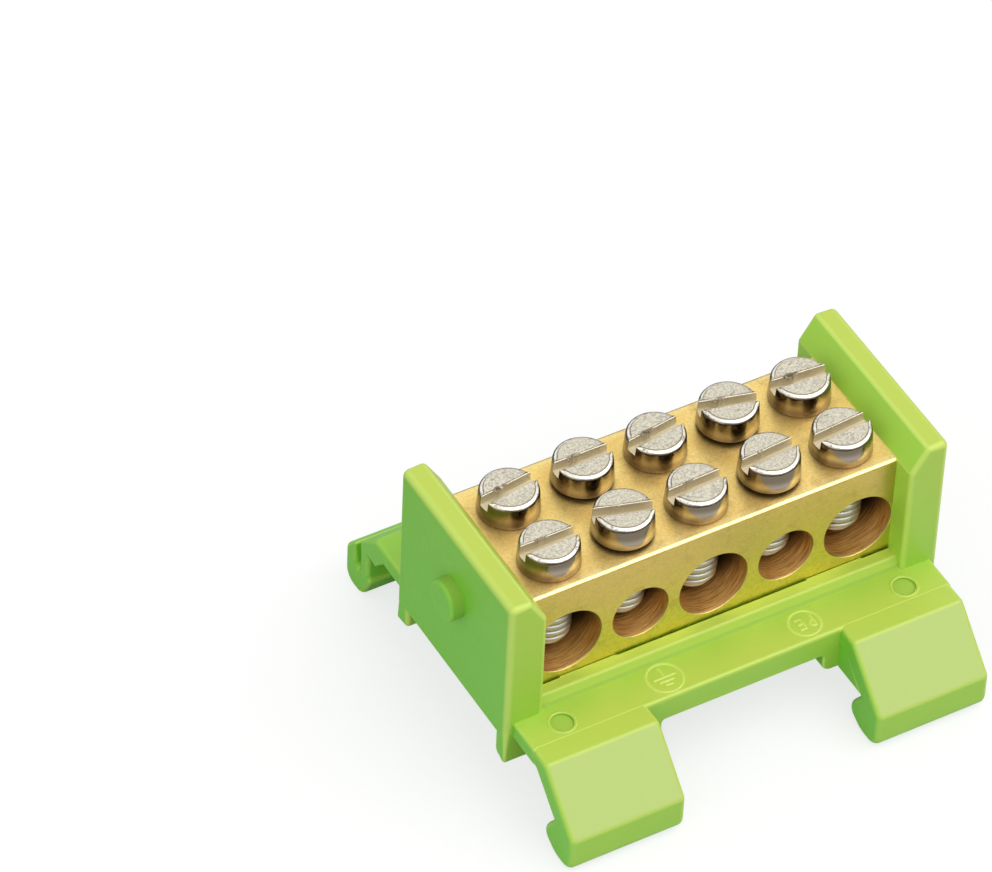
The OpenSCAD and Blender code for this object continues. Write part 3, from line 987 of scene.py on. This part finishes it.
def screw_blank(look, seed, burr, room):
    """Slotted head and plain shank, the head's underside at the origin."""
    bm = bmesh.new()
    bm.faces.layers.float.new(SLOT)
    floor = HEAD_H - SLOT_DEEP
    add_shell(bm, circle((0, 0), HEAD_R, 88), "Z", 0, floor, 0.12, 0)
    half = half_head(look)
    add_shell(bm, half, "Z", floor, HEAD_H, 0, look.head_edge / MM, BOTH_SIDES, lip=look.face_line / MM)
    mark_slot(bm, look, floor)
    for vert in bm.verts:
        narrow = 1 - HEAD_DRAFT / HEAD_R * max(0, vert.co.z / (HEAD_H * MM))
        vert.co.x *= narrow
        if abs(vert.co.y) > 0.6 * SLOT_W * MM:
            vert.co.y *= narrow
    tear_slot(bm, look, seed, burr, room)
    for size, place in ((burr, -1.05), (0.75 * burr, -0.3)):
        add_curl(bm, seed, size, place, room)
    core = SHANK_R - look.thread_depth / MM
    add_shell(bm, circle((0, 0), core, 48), "Z", -SHANK_LONG, 0.1, 0.5, 0)
    shade(bm, 45)
    return bm


def tear_slot(bm, look, seed, burr, room):
    """Torn metal at the slot's edges, left by the driver, no higher than the room above the head."""
    slot_layer = bm.faces.layers.float[SLOT]
    reach, heap_width, small = 0.2, 0.6, 0.05 * MM * MM
    for vert in bm.verts:
        at = vert.co / MM
        if at.z < HEAD_H - reach or abs(abs(at.y) - SLOT_W / 2) > reach:
            continue
        far = at.y > 0
        middle, strength, row = (-0.8, 1, 2.0) if far else (0.9, 0.1, 5.0)
        heap = exp(-(((at.x - middle) / heap_width) ** 2))
        rag = noise.noise(Vector((at.x * 4.3, seed * 3.1, row)))
        lift = look.burr / MM * burr * strength * heap * (0.4 + 1.8 * rag)
        # Small faces in the worst of the far tear take painted shade.
        if far and burr * heap * (0.5 - rag) > 0.25:
            for face in vert.link_faces:
                if face.calc_area() < small:
                    face[slot_layer] = 1 + 0.8 * burr * heap
        vert.co.z = min(at.z + lift, HEAD_H + room) * MM
        vert.co.y -= copysign(1.3 * abs(lift), at.y) * MM


def screw_tree():
    """Node tree that threads a blank, turns it and sets it in its hole, and the keys of its inputs."""
    tree = bpy.data.node_groups.new("clamp_screw", "GeometryNodeTree")
    kinds = {"Geometry": "Geometry", "Place": "Vector", "Material": "Material"}
    keys = {}
    for name in (
        "Geometry", "Thread Radius", "Thread Depth", "Thread Pitch", "Thread Length", "Shank Length",
        "Tip Length", "Tip Taper", "Turn", "Place", "Material",
    ):
        kind = "NodeSocket" + kinds.get(name, "Float")
        keys[name] = tree.interface.new_socket(name, in_out="INPUT", socket_type=kind).identifier
    tree.interface.new_socket("Geometry", in_out="OUTPUT", socket_type="NodeSocketGeometry")

    def step(kind, **inputs):
        """What a geometry node gives, its inputs named with _ for a space."""
        inputs = {name.replace("_", " "): value for name, value in inputs.items()}
        return add_node(tree, "GeometryNode" + kind, inputs).outputs[0]

    given = add_node(tree, "NodeGroupInput").outputs
    depth, rise, tip = given["Thread Depth"], given["Thread Length"], given["Tip Length"]
    middle = maths(tree, "SUBTRACT", given["Thread Radius"], depth)
    rounds = maths(tree, "DIVIDE", rise, given["Thread Pitch"])
    helix = step(
        "CurveSpiral", Resolution=36, Rotations=rounds, Start_Radius=middle, End_Radius=middle, Height=rise
    )
    helix = add_node(tree, "GeometryNodeSetCurveNormal", {"Curve": helix}, mode="Z_UP").outputs[0]
    ridge = step("CurvePrimitiveCircle", Resolution=12, Radius=depth)
    ridge = step("Transform", Geometry=ridge, Scale=(1, RIDGE_WIDTH, 1))
    thread = step("CurveToMesh", Curve=helix, Profile_Curve=ridge, Fill_Caps=True)
    thread = step("SetShadeSmooth", Geometry=thread)
    drop = add_node(tree, "ShaderNodeCombineXYZ", {2: times(tree, rise, -THREAD_DROP)}).outputs[0]
    thread = step("Transform", Geometry=thread, Translation=drop)
    joined = add_node(tree, "GeometryNodeJoinGeometry")
    for half in (given["Geometry"], thread):
        tree.links.new(half, joined.inputs[0])
    spot = step("InputPosition")
    tip_top = maths(tree, "SUBTRACT", tip, given["Shank Length"])
    below = maths(tree, "SUBTRACT", tip_top, apart(tree, spot)[2])
    into = maths(tree, "MAXIMUM", maths(tree, "DIVIDE", below, tip), 0.0)
    loss = times(tree, maths(tree, "POWER", into, 2.0), given["Tip Taper"])
    narrow = maths(tree, "SUBTRACT", 1.0, loss)
    squeeze = add_node(tree, "ShaderNodeCombineXYZ", {0: narrow, 1: narrow, 2: 1.0}).outputs[0]
    screw = step("SetPosition", Geometry=joined.outputs[0], Position=stretched(tree, spot, squeeze))
    inputs = {"Axis": (0, 0, 1), "Angle": given["Turn"]}
    turn = add_node(tree, "FunctionNodeAxisAngleToRotation", inputs).outputs[0]
    screw = step("Transform", Geometry=screw, Translation=given["Place"], Rotation=turn)
    screw = step("RealizeInstances", Geometry=screw)
    screw = step("SetMaterial", Geometry=screw, Material=given["Material"])
    add_node(tree, "NodeGroupOutput", {0: screw})
    return tree, keys


def add_screw(look, material, tree, keys, row, way):
    """One clamp screw, set where its node stands in the frame."""
    node = f"clamp_screw_{row}_{way}"
    low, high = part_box(node)
    place = Vector(((low[0] + high[0]) / 2, (low[1] + high[1]) / 2, high[2] - HEAD_H * MM))
    seed = look.seed + way + 10 * (row == "back")
    room = min(MOST_BURR, CAD_BOX[1][2] - high[2]) / MM
    blank = screw_blank(look, seed, BURRS[row][way - 1], room)
    piece = new_piece(f"plated_screw_{row}_{way}", blank)
    cut = piece.modifiers.new("thread", "NODES")
    cut.node_group = tree
    for name, value in {
        "Thread Radius": (SHANK_R - THREAD_PLAY) * MM,
        "Thread Depth": look.thread_depth,
        "Thread Pitch": look.thread_pitch,
        "Thread Length": (SHANK_LONG - PLAIN_TIP) * MM,
        "Shank Length": SHANK_LONG * MM,
        "Tip Length": look.tip_length,
        "Tip Taper": look.tip_taper,
        "Turn": radians(TURNS[row][way - 1]),
        "Place": place,
        "Material": material,
    }.items():
        cut[keys[name]] = value
    flatten_faces(piece)
    hand_over(piece, material, f"screw_{row}_{way}", "plated_steel", node)


class TERMINAL_OT_screws(bpy.types.Operator):
    """Build the ten clamp screws with their slots and threads"""

    bl_idname = "terminal.make_screws"
    bl_label = "Make screws"

    def execute(self, context):
        look = context.scene.terminal.screws
        material = nickel_material(look)
        tree, keys = screw_tree()
        for row in ROWS:
            for way in range(1, WAYS + 1):
                add_screw(look, material, tree, keys, row, way)
        return {"FINISHED"}


def soft_light(name, place, size, power):
    """A large square light aimed at the object."""
    data = bpy.data.lights.new(name, "AREA")
    data.size = size
    data.energy = power
    lamp = bpy.data.objects.new(name, data)
    lamp.location = place
    aim = Vector((0, 0, 12 * MM)) - Vector(place)
    lamp.rotation_euler = aim.to_track_quat("-Z", "Y").to_euler()
    bpy.context.scene.collection.objects.link(lamp)
    return lamp


def floor_material(look):
    """Floor that the camera sees white, with a soft shadow, and that lights the object as a pale card."""
    material = bpy.data.materials.new("floor_white")
    tree = empty_tree(material)
    path = add_node(tree, "ShaderNodeLightPath").outputs
    place = add_node(tree, "ShaderNodeTexCoord").outputs["Object"]
    # Metal sees a painted pool of light on the floor ahead, dimming further away.
    pool_centre, pool_near, pool_far = (15 * MM, -45 * MM, 0), 50 * MM, 120 * MM
    away = measure(tree, "DISTANCE", place, pool_centre)
    dimming = look.dim_band - look.pool
    pool = times(tree, ramp(tree, away, pool_near, pool_far), dimming, look.pool)
    grey = mix_value(tree, path["Is Glossy Ray"], look.card, pool)
    grey = mix_value(tree, path["Is Camera Ray"], grey, 1.0)
    paint = add_node(tree, "ShaderNodeBsdfDiffuse", {"Color": grey})
    white, white_share = 1.03, 0.7
    glow = add_node(tree, "ShaderNodeEmission", {"Color": (1, 1, 1, 1), "Strength": white})
    share = times(tree, path["Is Camera Ray"], white_share)
    blend = add_node(tree, "ShaderNodeMixShader", {0: share, 1: paint.outputs[0], 2: glow.outputs[0]})
    add_node(tree, "ShaderNodeOutputMaterial", {"Surface": blend.outputs[0]})
    return material


def studio_world(look):
    """Even light from all round, which metal sees as a white room with a front softbox and a dim horizon."""
    world = bpy.data.worlds.new("studio")
    tree = empty_tree(world)
    way = add_node(tree, "ShaderNodeTexCoord").outputs["Generated"]
    horizon_low, horizon_high = 0.08, 0.4
    softbox_way, softbox_edge, softbox_core = Vector((0.37, -0.50, 0.78)), 0.64, 0.9
    above = ramp(tree, apart(tree, way)[2], horizon_low, horizon_high)
    room = times(tree, above, 1 - look.dim_band, look.dim_band)
    ahead = measure(tree, "DOT_PRODUCT", way, softbox_way)
    room = times(tree, ramp(tree, ahead, softbox_edge, softbox_core), look.softbox, room)
    glossy = add_node(tree, "ShaderNodeLightPath").outputs["Is Glossy Ray"]
    strength = mix_value(tree, glossy, look.sky, room)
    light = add_node(tree, "ShaderNodeBackground", {"Color": (1, 1, 1, 1), "Strength": strength})
    add_node(tree, "ShaderNodeOutputWorld", {"Surface": light.outputs[0]})
    return world


class TERMINAL_OT_stage(bpy.types.Operator):
    """Set up the white floor, the soft studio light and the camera"""

    bl_idname = "terminal.make_stage"
    bl_label = "Make stage"

    def execute(self, context):
        look = context.scene.terminal.stage
        scene = context.scene
        scene.view_settings.view_transform = "Standard"
        scene.world = studio_world(look)
        bm = bmesh.new()
        bmesh.ops.create_grid(bm, x_segments=1, y_segments=1, size=FLOOR_HALF)
        floor = new_piece("floor", bm)
        floor.data.materials.append(floor_material(look))
        key = soft_light("key_light", KEY_AT, KEY_SIZE, look.key)
        fill = soft_light("fill_light", FILL_AT, FILL_SIZE, look.fill)
        self.add_camera(scene, look)
        return {"FINISHED"}

    def add_camera(self, scene, look):
        """Places the camera as the photograph was taken."""
        az, el, roll = look.azimuth, look.elevation, look.roll
        aim = Vector((0, 0, BASE_TOP * MM))
        back = Vector((sin(az) * cos(el), -cos(az) * cos(el), sin(el)))
        right = Vector((cos(az), sin(az), 0))
        up = back.cross(right)
        eye = aim + back * look.distance + right * look.slide_right + up * look.slide_up
        across = cos(roll) * right + sin(roll) * up
        upright = cos(roll) * up - sin(roll) * right
        turn = Matrix((across, upright, back)).transposed()
        data = bpy.data.cameras.new("camera")
        data.sensor_fit = "HORIZONTAL"
        data.sensor_width = 36
        data.lens = look.lens
        data.clip_end = 10
        camera = bpy.data.objects.new("camera", data)
        camera.matrix_world = Matrix.Translation(eye) @ turn.to_4x4()
        scene.collection.objects.link(camera)
        scene.camera = camera


class TERMINAL_PT_panel(bpy.types.Panel):
    """Settings and steps of the terminal block"""

    bl_idname = "TERMINAL_PT_panel"
    bl_label = "Earth terminal block"
    bl_space_type = "VIEW_3D"
    bl_region_type = "UI"
    bl_category = "Terminal"

    def draw(self, context):
        layout = self.layout
        for part in ("carrier", "bar", "screws", "stage"):
            box = layout.box()
            look = getattr(context.scene.terminal, part)
            for name in look.bl_rna.properties.keys():
                if name not in ("rna_type", "name"):
                    box.prop(look, name)
            box.operator(f"terminal.make_{part}")


CLASSES = (
    CarrierLook,
    BarLook,
    ScrewLook,
    StageLook,
    TerminalLook,
    TERMINAL_OT_carrier,
    TERMINAL_OT_bar,
    TERMINAL_OT_screws,
    TERMINAL_OT_stage,
    TERMINAL_PT_panel,
)


def register():
    for cls in CLASSES:
        bpy.utils.register_class(cls)
    bpy.types.Scene.terminal = PointerProperty(type=TerminalLook)


def unregister():
    del bpy.types.Scene.terminal
    for cls in reversed(CLASSES):
        bpy.utils.unregister_class(cls)


def main():
    register()
    bpy.ops.terminal.make_carrier()
    bpy.ops.terminal.make_bar()
    bpy.ops.terminal.make_screws()
    bpy.ops.terminal.make_stage()


if __name__ == "__main__":
    main()
